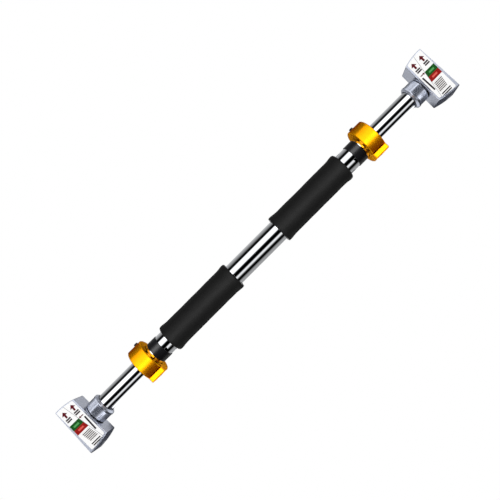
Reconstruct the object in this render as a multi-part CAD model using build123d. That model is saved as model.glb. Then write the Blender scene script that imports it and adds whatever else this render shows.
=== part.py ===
from build123d import *
import math
import os

os.makedirs("parts", exist_ok=True)

# A doorway pull up bar. Millimetres, X along the bar, Z up, the label faces toward -Y.
# The origin is the middle of the bar on its axis. The right end is drawn and mirrored to the left.

# Running and seating clearances
RUNNING = 0.05          # radial, between guided sliding pieces
SEAT = 0.05             # between pieces that are fixed to each other
FREE = 0.30             # between pieces that move past each other

# Main tube, foam grips and the bands beside them
MAIN_OD = 32.0
MAIN_WALL = 2.7
MAIN_END = 225.0        # half length
TUBE_SLIT_WIDTH = 1.7
TUBE_SLIT_SHORT = 1.6   # from the end of the slit to the inner face of the collar
GRIP_WALL = 4.15
GRIP_FLARE = 1.0        # extra radius of the bead at each end
GRIP_BEAD = 6.0
GRIP_LENGTH = 125.2
GRIP_GAP_LEFT = 12.2    # from a grip to its band; the two grips do not sit quite evenly
GRIP_GAP_RIGHT = 17.3
GRIP_EDGE = 2.0
BAND_WALL = 0.8
BAND_WIDTH = 15.3
BAND_GAP = 3.6          # from the band to the collar
BAND_EDGE = 0.4

# Clamp collar
COLLAR_WALL = 11.05
COLLAR_WIDTH = 23.4
COLLAR_PAST = 0.8       # how far the collar reaches past the end of the main tube
COLLAR_EDGE = 1.0
BORE_CHAMFER = 1.1
SLIT_ANGLE = 47.0       # below the front of the ring
SLIT_WIDTH = 1.7
EAR_SETBACK = 9.9       # from the front of the ring to the front face of the ear
EAR_BELOW = 1.1         # underside of the ear, below the ring
EAR_ROUND = 1.4
CLAMP_SCREW_D = 5.0
CLAMP_HEAD_D = 8.0
CLAMP_HEAD_H = 4.0
CLAMP_SEAT = 6.5        # from the slit to the screw head
CLAMP_REACH = 8.5       # from the slit to the screw tip
SET_SCREW_D = 6.0
SET_SCREW_PROUD = 2.2
SET_SCREW_SHIFT = 3.1   # from the middle of the collar toward the middle of the bar

# Inner tube and what it carries
INNER_WALL = 1.5
INNER_PLAY = 0.3        # radial, between the inner tube and the main tube
INNER_HELD = 153.0      # length inside the main tube
INNER_SHOWN = 71.0      # from the main tube to the hub cap
GLIDE_RIM = 4.0
GLIDE_SPIGOT = 18.0
NUT_LENGTH = 14.0
NUT_RIM = 2.0
NUT_CLEAR = 2.4         # from the nut to the spindle's flange, screwed right in

# Jack screw
SPINDLE_D = 16.0
PITCH = 6.0
THREAD_DEPTH = 2.0
THREAD_FLANK = 15.0     # degrees
TURNS_OUT = 4.0
THREAD_HELD = 8.6       # thread still in the nut, screwed right out
SPINDLE_FLANGE_PLAY = 1.4
SPINDLE_FLANGE_T = 4.0
SPINDLE_STUB_D = 12.0

# Hub of the end block
HUB_LENGTH = 22.0       # with its cap
HUB_WALL = 2.95
HUB_PLAY = 0.9          # radial, from the inner tube to the hub's bore
HUB_GROOVE = 1.5
HUB_GROOVE_DEPTH = 1.2
CAP_LIP = 0.55          # the cap stands out from the hub by this much
CAP_RIM = 5.4
CAP_NOSE = 2.4          # length of the cone on the end of the cap
CAP_LAND = 0.7          # flat ring between the cone and the bore
CAP_SPIGOT = 6.0
WIPER_WIDTH = 2.8
WIPER_WALL = 2.05

# End block
BLOCK_LENGTH = 32.0
BLOCK_SLANT = 1.5       # the hub side leans out by this much at the bottom and in at the top
BLOCK_HEIGHT = 73.4     # at the wall side
BLOCK_FALL = 3.7        # the top comes down by this much toward the hub
BLOCK_RISE = 5.2        # the underside comes up by this much toward the hub
BLOCK_CROWN = 1.3       # the arches stand this far off a straight line at their middle
BLOCK_BESIDE = 3.4      # at the wall side, from the hub's radius to the front and to the back
BLOCK_TAPER = 2.75      # front and back come in by this much toward the hub
BLOCK_CORNER = 1.6
BLOCK_EDGE = 1.5
BLOCK_RIM = 0.7
BLOCK_WALL = 4.2
RIB_T = 2.0
PLATE_T = 3.0
PLATE_INSET = 3.4       # from the outside of the block to the edge of the plate
PLATE_CORNER = 3.0
PLATE_SCREW_D = 4.0
PLATE_SCREW_HEAD_D = 7.6
PLATE_SCREW_L = 15.0
PLATE_SCREW_EDGE = 5.5  # from the edges of the plate to a screw's centre
BOSS_D = 8.0
PAD_T = 4.0
PAD_PROUD = 1.5
PAD_EDGE = 0.8
PAD_GROOVE = 1.4
PAD_GROOVE_DEPTH = 1.2
PAD_GROOVES = 9
LABEL_T = 0.4
LABEL_SUNK = 0.2
LABEL_HUB = 2.4         # bare strips around the label
LABEL_WALL_TOP = 1.2
LABEL_WALL_BOTTOM = 4.3
LABEL_TOP = 1.7
LABEL_BOTTOM = 2.6
LABEL_CORNER = 1.6

# Worked out from the sizes above
MAIN_R = MAIN_OD / 2
MAIN_BORE_R = MAIN_R - MAIN_WALL
INNER_R = MAIN_BORE_R - INNER_PLAY
INNER_BORE_R = INNER_R - INNER_WALL
INNER_START = MAIN_END - INNER_HELD
COLLAR_BORE_R = MAIN_R + SEAT
COLLAR_R = COLLAR_BORE_R + COLLAR_WALL
COLLAR_END = MAIN_END + COLLAR_PAST
COLLAR_START = COLLAR_END - COLLAR_WIDTH
COLLAR_MID = COLLAR_START + COLLAR_WIDTH / 2
EAR_FRONT = COLLAR_R - EAR_SETBACK
EAR_DROP = COLLAR_R + EAR_BELOW
BAND_R = MAIN_R + SEAT + BAND_WALL
BAND_END = COLLAR_START - BAND_GAP
BAND_START = BAND_END - BAND_WIDTH
GRIP_BORE_R = MAIN_R + 3 * SEAT
GRIP_R = GRIP_BORE_R + GRIP_WALL
CLAMP_OFFSET = (COLLAR_BORE_R + COLLAR_R) / 2 + 0.4
SET_SCREW_X = COLLAR_MID - SET_SCREW_SHIFT
HUB_BORE_R = INNER_R + HUB_PLAY
HUB_R = HUB_BORE_R + HUB_WALL
HUB_START = MAIN_END + INNER_SHOWN
CAP_R = HUB_R + CAP_LIP
CAP_END = HUB_START + CAP_RIM
WIPER_START = CAP_END + CAP_SPIGOT + SEAT
WIPER_R = INNER_R + RUNNING + WIPER_WALL
WIPER_SEAT_R = WIPER_R + SEAT
HUB_RECESS_END = WIPER_START + WIPER_WIDTH + SEAT
BLOCK_DEPTH = 2 * (HUB_R + BLOCK_BESIDE)
BLOCK_START = HUB_START + HUB_LENGTH
BLOCK_END = BLOCK_START + BLOCK_LENGTH
BLOCK_SLOPE = BLOCK_TAPER / BLOCK_LENGTH
BLOCK_HUB_HIGH = BLOCK_HEIGHT / 2 - BLOCK_FALL
BLOCK_HUB_LOW = BLOCK_HEIGHT / 2 - BLOCK_RISE
HUB_FACE_LOW = 2 * BLOCK_SLANT * (BLOCK_HUB_LOW - HUB_R) / (BLOCK_HUB_LOW + BLOCK_HUB_HIGH) - BLOCK_SLANT
PAD_END = BLOCK_END + PAD_PROUD
PAD_START = PAD_END - PAD_T
PLATE_END = PAD_START - SEAT
PLATE_START = PLATE_END - PLATE_T
PLATE_SCREW_Y = BLOCK_DEPTH / 2 - PLATE_INSET - PLATE_SCREW_EDGE
PLATE_SCREW_Z = BLOCK_HEIGHT / 2 - PLATE_INSET - PLATE_SCREW_EDGE
FLANGE_START = PLATE_START - SPINDLE_FLANGE_T
SPINDLE_START = FLANGE_START - NUT_CLEAR - TURNS_OUT * PITCH - THREAD_HELD
INNER_END = FLANGE_START - NUT_CLEAR - NUT_RIM - SEAT
PAD_GROOVE_PITCH = (BLOCK_HEIGHT - 2 * PLATE_INSET) / (PAD_GROOVES + 0.5)

UPRIGHT = (Align.CENTER, Align.CENTER, Align.MIN)

# The screw axis of the clamp stands square to the slit
SLIT_Y = -math.cos(math.radians(SLIT_ANGLE))
SLIT_Z = -math.sin(math.radians(SLIT_ANGLE))
CLAMP_DIR = Vector(0, SLIT_Z, -SLIT_Y)
CLAMP_MID = Vector(COLLAR_MID, CLAMP_OFFSET * SLIT_Y, CLAMP_OFFSET * SLIT_Z)


def across(x):
    """Plane square to the bar at x, with local axes Y and Z."""
    return Plane.YZ.offset(x)


def rod(radius, start, end):
    """Solid cylinder along the bar."""
    return extrude(across(start) * Circle(radius), amount=end - start)


def ring(radius, bore, start, end):
    """Hollow cylinder along the bar."""
    return extrude(across(start) * (Circle(radius) - Circle(bore)), amount=end - start)


def circles(part, radius, low, high):
    """Circular edges of one radius about the bar axis, between two places along it."""
    found = part.edges().filter_by(GeomType.CIRCLE)
    return [e for e in found if abs(e.radius - radius) < 1e-4 and low <= e.center().X <= high]


def slit(width, start, end, reach):
    """Plate-shaped cutter from the axis outward, at the angle of the collar's slit."""
    cutter = Pos((start + end) / 2, -reach / 2, 0) * Box(end - start, reach, width)
    return Rot(X=SLIT_ANGLE) * cutter


def main_tube():
    part = ring(MAIN_R, MAIN_BORE_R, -MAIN_END, MAIN_END)
    cutter = slit(TUBE_SLIT_WIDTH, COLLAR_START + TUBE_SLIT_SHORT, MAIN_END + 1, MAIN_OD)
    for turn in (0, 180):
        part -= Rot(X=turn) * cutter
        part -= Rot(X=turn) * mirror(cutter, about=Plane.YZ)
    return part


def grip(gap):
    """Foam tube with a rounded bead at each end, a gap away from the band."""
    bead_r = GRIP_R + GRIP_FLARE
    end = BAND_START - gap
    start = end - GRIP_LENGTH
    outline = Polygon(
        (start, GRIP_BORE_R),
        (start, bead_r),
        (start + GRIP_BEAD, bead_r),
        (start + 2 * GRIP_BEAD, GRIP_R),
        (end - 2 * GRIP_BEAD, GRIP_R),
        (end - GRIP_BEAD, bead_r),
        (end, bead_r),
        (end, GRIP_BORE_R),
        align=None,
    )
    tops = outline.vertices().filter_by(lambda v: v.Y > bead_r - 1e-6)
    ends = tops.filter_by(lambda v: v.X < start + 1e-6 or v.X > end - 1e-6)
    outline = fillet(ends, GRIP_EDGE)
    return revolve(outline, Axis.X)


def tube_band():
    """Moulded band around the main tube, a little short of the collar."""
    part = ring(BAND_R, MAIN_R + SEAT, BAND_START, BAND_END)
    return chamfer(circles(part, BAND_R, BAND_START - 1, BAND_END + 1), BAND_EDGE)


def collar_outline():
    """Ring with an ear that leaves it on a tangent and ends at the front."""
    corner = math.hypot(EAR_FRONT, EAR_DROP)
    touch = math.atan2(-EAR_DROP, -EAR_FRONT) + math.acos(COLLAR_R / corner)
    ear = Polygon(
        (-EAR_FRONT, -EAR_DROP),
        (COLLAR_R * math.cos(touch), COLLAR_R * math.sin(touch)),
        (0, 0),
        (-EAR_FRONT, EAR_FRONT * SLIT_Z / -SLIT_Y),
        align=None,
    )
    tip = ear.vertices().sort_by(Axis.Y)[0]
    ear = fillet(tip, EAR_ROUND)
    return Circle(COLLAR_R) + ear


def clamp_plane(step):
    """Plane square to the clamp screw, a step from the slit toward its tip."""
    return Plane(origin=CLAMP_MID + CLAMP_DIR * step, x_dir=(1, 0, 0), z_dir=CLAMP_DIR)


def clamp_collar():
    part = extrude(across(COLLAR_START) * collar_outline(), amount=COLLAR_WIDTH)
    rims = part.faces().filter_by(Axis.X).edges()
    part = chamfer(rims, COLLAR_EDGE)
    part -= rod(COLLAR_BORE_R, COLLAR_START - 1, COLLAR_END + 1)
    mouths = circles(part, COLLAR_BORE_R, COLLAR_START - 1, COLLAR_END + 1)
    part = chamfer(mouths, BORE_CHAMFER)
    part -= slit(SLIT_WIDTH, COLLAR_START - 1, COLLAR_END + 1, 2 * COLLAR_R)
    shank = CLAMP_SCREW_D / 2
    part -= extrude(clamp_plane(-CLAMP_SEAT - 1) * Circle(shank + 0.2), amount=CLAMP_SEAT + 1)
    part -= extrude(clamp_plane(0) * Circle(shank + SEAT), amount=CLAMP_REACH + 0.5)
    head = CLAMP_HEAD_D / 2 + FREE
    part -= extrude(clamp_plane(-CLAMP_SEAT) * Circle(head), amount=-COLLAR_R)
    hole = Pos(SET_SCREW_X, 0, 0) * Cylinder(SET_SCREW_D / 2 + SEAT, 2 * COLLAR_R, align=UPRIGHT)
    return part - hole


def clamp_screw():
    """Socket head cap screw, its head sunk in the ear."""
    play = FREE / 3
    head_plane = clamp_plane(-CLAMP_SEAT - play)
    head = extrude(head_plane * Circle(CLAMP_HEAD_D / 2), amount=-CLAMP_HEAD_H)
    head = chamfer(head.edges().filter_by(GeomType.CIRCLE), 0.4)
    shank = extrude(head_plane * Circle(CLAMP_SCREW_D / 2), amount=CLAMP_SEAT + play + CLAMP_REACH)
    part = head + shank
    socket_plane = clamp_plane(-CLAMP_SEAT - play - CLAMP_HEAD_H)
    return part - extrude(socket_plane * RegularPolygon(1.5, 6, major_radius=False), amount=2)


def set_screw():
    """Headless socket screw that bears on the main tube from above."""
    radius = SET_SCREW_D / 2
    low = MAIN_R + SEAT
    high = COLLAR_R + SET_SCREW_PROUD
    part = Pos(SET_SCREW_X, 0, low) * Cylinder(radius, high - low, align=UPRIGHT)
    part = chamfer(part.edges().filter_by(GeomType.CIRCLE), 0.6)
    socket = Plane.XY.offset(high) * Pos(SET_SCREW_X, 0) * RegularPolygon(1.5, 6, major_radius=False)
    return part - extrude(socket, amount=-3)


def inner_tube():
    return ring(INNER_R, INNER_BORE_R, INNER_START, INNER_END)


def tube_glide():
    """Ring that centres the hidden end of the inner tube in the main tube."""
    bore = INNER_BORE_R - 3
    rim_start = INNER_START - GLIDE_RIM
    part = ring(MAIN_BORE_R - RUNNING, bore, rim_start, INNER_START - SEAT)
    part += ring(INNER_BORE_R - SEAT, bore, rim_start, INNER_START + GLIDE_SPIGOT)
    edges = circles(part, MAIN_BORE_R - RUNNING, rim_start - 1, rim_start + 1)
    return chamfer(edges, 0.8)


def thread_outline(grow):
    """Cross section of the one-start thread: root and crest arcs joined by two ramps."""
    crest = SPINDLE_D / 2 + grow
    root = crest - THREAD_DEPTH
    lean = math.tan(math.radians(THREAD_FLANK))
    degrees = 360 / PITCH
    ramp = THREAD_DEPTH * lean * degrees
    widen = grow * (1 / math.cos(math.radians(THREAD_FLANK)) - lean) * degrees
    half_crest = (180 - ramp) / 2 + widen

    def at(radius, turn):
        angle = math.radians(turn)
        return (radius * math.cos(angle), radius * math.sin(angle))

    def flank(start, end, turn, to):
        steps = [i / 4 for i in range(5)]
        return Spline([at(start + (end - start) * i, turn + (to - turn) * i) for i in steps])

    foot = half_crest + ramp
    return make_face(
        [
            ThreePointArc(at(crest, -half_crest), at(crest, 0), at(crest, half_crest)),
            flank(crest, root, half_crest, foot),
            ThreePointArc(at(root, foot), at(root, 180), at(root, 360 - foot)),
            flank(root, crest, 360 - foot, 360 - half_crest),
        ]
    )


def threaded(start, end, grow):
    """Right-hand threaded rod along the bar; threads of all lengths are in step."""
    length = end - start
    section = thread_outline(grow).face()
    rod_z = Solid.extrude_linear_with_rotation(section, (0, 0, 0), (0, 0, length), 360 * length / PITCH)
    return across(start).location * Rot(Z=360 * start / PITCH) * rod_z


def tube_nut():
    """Nut in the outer end of the inner tube, with a rim on the tube's end."""
    end = INNER_END + SEAT + NUT_RIM
    part = rod(INNER_BORE_R - SEAT, INNER_END - NUT_LENGTH, end)
    part += rod(INNER_R, INNER_END + SEAT, end)
    return part - threaded(INNER_END - NUT_LENGTH - 1, end + 1, FREE)


def spindle():
    """Jack screw with a flange on the back plate and a stub through it."""
    part = rod(HUB_BORE_R - SPINDLE_FLANGE_PLAY, FLANGE_START, PLATE_START - SEAT)
    part += rod(SPINDLE_STUB_D / 2, PLATE_START - SEAT, PLATE_END - SEAT)
    return part + threaded(SPINDLE_START, FLANGE_START, 0)


def hub_cap():
    """Cone-nosed ring on the hub, held by a spigot in the hub's recess."""
    nose_r = HUB_BORE_R + CAP_LAND
    outline = Polygon(
        (HUB_START, HUB_BORE_R),
        (HUB_START, nose_r),
        (HUB_START + CAP_NOSE, CAP_R),
        (CAP_END, CAP_R),
        (CAP_END, WIPER_R),
        (CAP_END + CAP_SPIGOT, WIPER_R),
        (CAP_END + CAP_SPIGOT, HUB_BORE_R),
        align=None,
    )
    part = revolve(outline, Axis.X)
    part = fillet(circles(part, CAP_R, CAP_END - 1, CAP_END + 1), 0.4)
    part = fillet(circles(part, CAP_R, HUB_START, HUB_START + CAP_NOSE + 0.5), 1.0)
    return fillet(circles(part, nose_r, HUB_START - 1, HUB_START + 1), 0.4)


def wiper_ring():
    return ring(WIPER_R, INNER_R + RUNNING, WIPER_START, WIPER_START + WIPER_WIDTH)


def block_outside(inset, end):
    """Block narrowed toward the hub: straight in plan, arched above and below."""
    start = BLOCK_START + inset
    first = start - BLOCK_SLANT
    wide = BLOCK_DEPTH / 2 - inset + BLOCK_SLOPE * (end - BLOCK_END)
    narrow = wide - BLOCK_SLOPE * (end - first)
    plan = Polygon((first, -narrow), (end, -wide), (end, wide), (first, narrow), align=None)
    high = BLOCK_HEIGHT / 2 - inset
    top = BLOCK_HUB_HIGH - inset
    low = BLOCK_HUB_LOW - inset
    x_mid = (start + BLOCK_END) / 2
    top_mid = (high + top) / 2 + BLOCK_CROWN
    low_mid = (high + low) / 2 + BLOCK_CROWN
    side = make_face(
        [
            ThreePointArc((start + BLOCK_SLANT, top), (x_mid, top_mid), (BLOCK_END, high)),
            Line((BLOCK_END, high), (BLOCK_END, -high)),
            ThreePointArc((BLOCK_END, -high), (x_mid, -low_mid), (first, -low)),
            Line((first, -low), (start + BLOCK_SLANT, top)),
        ]
    )
    tall = extrude(Plane.XY * plan, amount=BLOCK_HEIGHT, both=True)
    deep = extrude(Plane.XZ * side, amount=BLOCK_DEPTH, both=True)
    return tall & deep


def arch(x, fall):
    """How far an arched edge of the block is from the axis at a place along the bar."""
    share = (BLOCK_END - x) / BLOCK_LENGTH
    return BLOCK_HEIGHT / 2 - fall * share + 4 * BLOCK_CROWN * share * (1 - share)


def screw_places():
    """Centres of the plate screws in the plane across the bar."""
    return [(y, z) for y in (-PLATE_SCREW_Y, PLATE_SCREW_Y) for z in (-PLATE_SCREW_Z, PLATE_SCREW_Z)]


def label_plane():
    """Plane of the block's front face, outward, with local x along the bar and y up."""
    along = Vector(BLOCK_LENGTH, -BLOCK_TAPER, 0).normalized()
    outward = Vector(-BLOCK_TAPER, -BLOCK_LENGTH, 0).normalized()
    middle = Vector((BLOCK_START + BLOCK_END) / 2, -(BLOCK_DEPTH - BLOCK_TAPER) / 2, 0)
    return Plane(origin=middle, x_dir=along, z_dir=outward)


def label_outline(grow):
    """Outline that follows the arches and leans with the hub side of the block."""
    x_mid = (BLOCK_START + BLOCK_END) / 2
    stretch = math.hypot(1, BLOCK_SLOPE)

    def edge(x, fall, gap):
        return ((x - x_mid) * stretch, arch(x, fall) - gap + grow)

    hub = BLOCK_START + LABEL_HUB - grow
    wall = BLOCK_END + grow
    top_x = (hub + BLOCK_SLANT, x_mid, wall - LABEL_WALL_TOP)
    low_x = (wall - LABEL_WALL_BOTTOM, x_mid, hub - BLOCK_SLANT)
    top = [edge(x, BLOCK_FALL, LABEL_TOP) for x in top_x]
    low = [edge(x, BLOCK_RISE, LABEL_BOTTOM) for x in low_x]
    low = [(x, -y) for x, y in low]
    outline = make_face(
        [
            ThreePointArc(*top),
            Line(top[2], low[0]),
            ThreePointArc(*low),
            Line(low[2], top[0]),
        ]
    )
    return fillet(outline.vertices(), LABEL_CORNER + grow)


def plate_outline(inset):
    return RectangleRounded(BLOCK_DEPTH - 2 * inset, BLOCK_HEIGHT - 2 * inset, PLATE_CORNER)


def housing():
    """Hollow block with a hub, screw bosses and ribs, open toward the wall."""
    part = block_outside(0, BLOCK_END)
    margin = BLOCK_SLANT + 1
    corners = part.edges().filter_by(lambda e: BLOCK_START + margin < e.center().X < BLOCK_END - 1)
    part = fillet(corners, BLOCK_CORNER)
    part = fillet(part.faces().sort_by(Axis.X)[0].edges(), BLOCK_EDGE)
    rim = part.faces().sort_by(Axis.X)[-1].edges()
    part = fillet(rim, BLOCK_RIM)
    hollow = block_outside(BLOCK_WALL, BLOCK_END + 1)
    keep = rod(HUB_R, BLOCK_START, FLANGE_START)
    for y, z in screw_places():
        keep += Pos(0, y, z) * rod(BOSS_D / 2, BLOCK_START, PLATE_START - SEAT)
    rib_length = FLANGE_START - BLOCK_START - 4
    rib_mid = BLOCK_START + rib_length / 2
    for z in (-PLATE_SCREW_Z, PLATE_SCREW_Z):
        keep += Pos(rib_mid, 0, z) * Box(rib_length, 2 * PLATE_SCREW_Y, RIB_T)
    keep += Pos(rib_mid, 0, 0) * Box(rib_length, RIB_T, 2 * BLOCK_HUB_LOW - 2)
    part -= hollow - keep
    seat = PLATE_INSET - SEAT
    part -= extrude(across(PLATE_START - SEAT) * plate_outline(seat), amount=BLOCK_LENGTH)
    groove_start = BLOCK_START + HUB_FACE_LOW - HUB_GROOVE
    barrel = rod(HUB_R, CAP_END + SEAT, groove_start)
    barrel = fillet(circles(barrel, HUB_R, groove_start - 1, groove_start + 1), 0.6)
    part += barrel + rod(HUB_R - HUB_GROOVE_DEPTH, groove_start, BLOCK_START + BLOCK_WALL)
    part -= rod(HUB_BORE_R, HUB_START, BLOCK_END)
    part -= rod(WIPER_SEAT_R, CAP_END, HUB_RECESS_END)
    depth = PLATE_SCREW_L - PLATE_T + 1
    for y, z in screw_places():
        pilot = rod(PLATE_SCREW_D / 2 - 0.5 + SEAT, PLATE_START - depth, PLATE_START + 1)
        part -= Pos(0, y, z) * pilot
    pocket = extrude(label_plane() * label_outline(SEAT), amount=-LABEL_SUNK)
    return part - pocket


def label():
    low = label_plane().offset(-LABEL_SUNK + SEAT / 2)
    return extrude(low * label_outline(0), amount=LABEL_T)


def head_cone():
    """Countersunk head with the start of its shank, along the bar."""
    shank = PLATE_SCREW_D / 2
    head = PLATE_SCREW_HEAD_D / 2
    rise = head - shank
    return shank, head, rise


def plate_screw():
    shank, head, rise = head_cone()
    core = shank - 0.5
    tip = PLATE_END - PLATE_SCREW_L
    outline = Polygon(
        (tip, 0),
        (tip + core, core),
        (PLATE_START + SEAT, core),
        (PLATE_START + 3 * SEAT, shank),
        (PLATE_END - 0.3 - rise, shank),
        (PLATE_END - 0.3, head),
        (PLATE_END - 0.1, head),
        (PLATE_END - 0.1, 0),
        align=None,
    )
    part = revolve(outline, Axis.X)
    for turn in (0, 90):
        part -= Pos(PLATE_END, 0, 0) * Rot(X=turn) * Box(3, 0.9, 4)
    return part


def back_plate():
    """Steel plate with countersunk holes and a hole for the spindle's stub."""
    part = extrude(across(PLATE_START) * plate_outline(PLATE_INSET), amount=PLATE_T)
    part -= rod(SPINDLE_STUB_D / 2 + SEAT, PLATE_START - 1, PLATE_END + 1)
    shank, head, rise = head_cone()
    outline = Polygon(
        (PLATE_START - 1, 0),
        (PLATE_START - 1, shank + SEAT),
        (PLATE_END - 0.3 - rise, shank + SEAT),
        (PLATE_END - 0.3, head + SEAT),
        (PLATE_END + 1, head + SEAT),
        (PLATE_END + 1, 0),
        align=None,
    )
    hole = revolve(outline, Axis.X)
    for y, z in screw_places():
        part -= Pos(0, y, z) * hole
    return part


def wall_pad():
    """Rubber pad in the block's rim, with cross grooves on the face that meets the jamb."""
    part = extrude(across(PAD_START) * plate_outline(PLATE_INSET), amount=PAD_T)
    face = part.faces().sort_by(Axis.X)[-1].edges()
    part = fillet(face, PAD_EDGE)
    first = -(PAD_GROOVES - 1) / 2
    for i in range(PAD_GROOVES):
        groove = Box(2 * PAD_GROOVE_DEPTH, BLOCK_DEPTH, PAD_GROOVE)
        part -= Pos(PAD_END, 0, (first + i) * PAD_GROOVE_PITCH) * groove
    return part


def plate_screws():
    screw = plate_screw()
    return Compound(children=[Pos(0, y, z) * screw for y, z in screw_places()])


END_PIECES = {
    "tube_band": tube_band,
    "clamp_collar": clamp_collar,
    "clamp_screw": clamp_screw,
    "set_screw": set_screw,
    "inner_tube": inner_tube,
    "tube_glide": tube_glide,
    "tube_nut": tube_nut,
    "hub_cap": hub_cap,
    "wiper_ring": wiper_ring,
    "housing": housing,
    "label": label,
    "screw_spindle": spindle,
    "back_plate": back_plate,
    "plate_screws": plate_screws,
    "wall_pad": wall_pad,
}

export_step(main_tube(), "parts/main_tube.step")
export_step(grip(GRIP_GAP_RIGHT), "parts/right_grip.step")
export_step(mirror(grip(GRIP_GAP_LEFT), about=Plane.YZ), "parts/left_grip.step")
for name, make in END_PIECES.items():
    piece = make()
    export_step(piece, f"parts/right_{name}.step")
    export_step(mirror(piece, about=Plane.YZ), f"parts/left_{name}.step")
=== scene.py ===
# %% [markdown]
# # A telescoping pull up bar for a doorway
# The CAD model already holds every rigid piece at its true size. In this lesson each piece gets the
# finish of its real material, the two grips are modelled as foam, and a small studio is built whose
# light makes the chrome show long, clean stripes.

import math

import bpy
from mathutils import Matrix, Vector


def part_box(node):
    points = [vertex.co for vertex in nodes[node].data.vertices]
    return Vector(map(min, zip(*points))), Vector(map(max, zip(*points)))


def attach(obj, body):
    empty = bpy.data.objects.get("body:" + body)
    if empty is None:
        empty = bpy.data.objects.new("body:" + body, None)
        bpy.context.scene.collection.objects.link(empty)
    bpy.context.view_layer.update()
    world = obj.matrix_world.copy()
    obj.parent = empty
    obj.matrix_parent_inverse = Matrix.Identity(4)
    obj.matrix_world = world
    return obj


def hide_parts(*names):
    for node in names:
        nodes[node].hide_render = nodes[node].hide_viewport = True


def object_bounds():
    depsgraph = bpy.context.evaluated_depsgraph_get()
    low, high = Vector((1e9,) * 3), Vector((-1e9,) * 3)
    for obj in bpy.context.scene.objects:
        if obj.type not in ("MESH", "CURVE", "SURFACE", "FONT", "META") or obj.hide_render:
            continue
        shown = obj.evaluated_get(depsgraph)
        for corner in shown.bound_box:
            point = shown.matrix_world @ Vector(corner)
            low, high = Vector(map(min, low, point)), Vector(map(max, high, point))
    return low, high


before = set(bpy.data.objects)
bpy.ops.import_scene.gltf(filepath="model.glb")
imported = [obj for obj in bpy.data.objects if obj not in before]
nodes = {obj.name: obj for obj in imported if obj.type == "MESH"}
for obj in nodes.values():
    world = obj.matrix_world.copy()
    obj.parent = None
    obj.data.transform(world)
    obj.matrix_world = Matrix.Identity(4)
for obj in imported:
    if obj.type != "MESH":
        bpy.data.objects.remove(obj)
cad_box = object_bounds()
MM = 0.001
SIDES = ("left", "right")

# %% [markdown]
# ## Two small helpers
# Colours are easiest to judge as the sRGB hex values of a paint chart, but a shader adds light, so it
# wants linear numbers. Nodes are all added by one function: it sets what it is told to and links what
# it is given, which keeps every material below a short list of decisions. Some sockets share a name and
# go by number: a Mix node's two colours are 6 and 7 and its result is output 2, and a Map Range node
# reads from 1 to 2 and gives from 3 to 4.

# %% Colour and node helpers
def paint(hex_value):
    """Linear RGBA of an sRGB hex colour."""
    channels = [int(hex_value[i:i + 2], 16) / 255 for i in (1, 3, 5)]
    linear = [c / 12.92 if c <= 0.04045 else ((c + 0.055) / 1.055) ** 2.4 for c in channels]
    return (*linear, 1.0)


def node(tree, kind, sockets=None, **settings):
    """Adds a node. Each socket gets a value, or a link if it is given another node's output."""
    made = tree.nodes.new("ShaderNode" + kind)
    for key, value in settings.items():
        setattr(made, key, value)
    for key, value in (sockets or {}).items():
        if isinstance(value, bpy.types.NodeSocket):
            tree.links.new(value, made.inputs[key])
        else:
            made.inputs[key].default_value = value
    return made


print("white is", paint("#ffffff"))

# %% [markdown]
# ## The camera
# The bar lies corner to corner in the picture, so the camera is rolled by 45 degrees. It looks at the
# middle of the bar from a little below its axis: the undersides of the end blocks show, and their tops
# do not. The distance comes from how much the near and far edges of the blocks differ in size. The
# camera could be turned by three angles, but a matrix of its own right, up and back directions says
# plainly which way the picture lies.

# %% Camera
CAMERA_DISTANCE = 844.5 * MM
CAMERA_DROP = math.radians(6.87)
CAMERA_LENS = 44.0          # millimetres
CAMERA_SENSOR = 36.0        # millimetres
CAMERA_NEAREST = 10 * MM
FRAME_PIXELS = 500
FRAME_SHIFT = (-7.6 / FRAME_PIXELS, 1.2 / FRAME_PIXELS)

bpy.ops.object.select_all(action="DESELECT")
look = Vector((0, math.cos(CAMERA_DROP), math.sin(CAMERA_DROP)))
along = Vector((1, 0, 0))
above = Vector((0, -math.sin(CAMERA_DROP), math.cos(CAMERA_DROP)))
image_right = (along - above).normalized()
image_up = (along + above).normalized()
turn = Matrix((image_right, image_up, -look)).transposed()
bpy.ops.object.camera_add()
camera = bpy.context.object
camera.matrix_world = Matrix.Translation(-look * CAMERA_DISTANCE) @ turn.to_4x4()
camera.data.lens = CAMERA_LENS
camera.data.sensor_width = CAMERA_SENSOR
camera.data.shift_x, camera.data.shift_y = FRAME_SHIFT
camera.data.clip_start = CAMERA_NEAREST
bpy.context.scene.camera = camera
bpy.context.scene.view_settings.view_transform = "Standard"
print("camera at", [round(v, 4) for v in camera.location])

# %% [markdown]
# ## The studio
# Polished chrome has no colour of its own: it shows the room. A product photographer hangs long white
# cloths and black cards beside a tube, and each becomes one stripe. They could be modelled as panels,
# but all of them run along the bar, so here the room is a world whose brightness depends only on the
# angle around the bar. Matte surfaces are lit by a plain soft sky instead, and the camera sees a white
# backdrop.

# %% Cloths and cards around the bar
# Angle around the bar in degrees, from the front (0) over the top (90), and the brightness there.
STRIPES = [
    (-180, 0.75), (-175, 0.80), (-171, 1.30), (-112, 1.30), (-104, 0.70), (-97, 0.08), (-92, 0.00),
    (-69, 0.00), (-64, 0.14), (-58, 0.65), (-54, 1.00), (-43, 1.00), (-39, 0.60), (-35, 0.04),
    (-31, 0.00), (-5, 0.00), (-1, 0.08), (4, 0.70), (8, 1.30), (16, 2.20), (40, 2.20), (47, 1.30),
    (52, 0.45), (58, 0.00), (78, 0.00), (86, 0.12), (101, 0.32), (118, 0.45), (150, 0.62), (180, 0.75),
]
CLOTH = max(brightness for _, brightness in STRIPES)
print("stripes of light around the bar:", len(STRIPES), "stops, the brightest", CLOTH)

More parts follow.
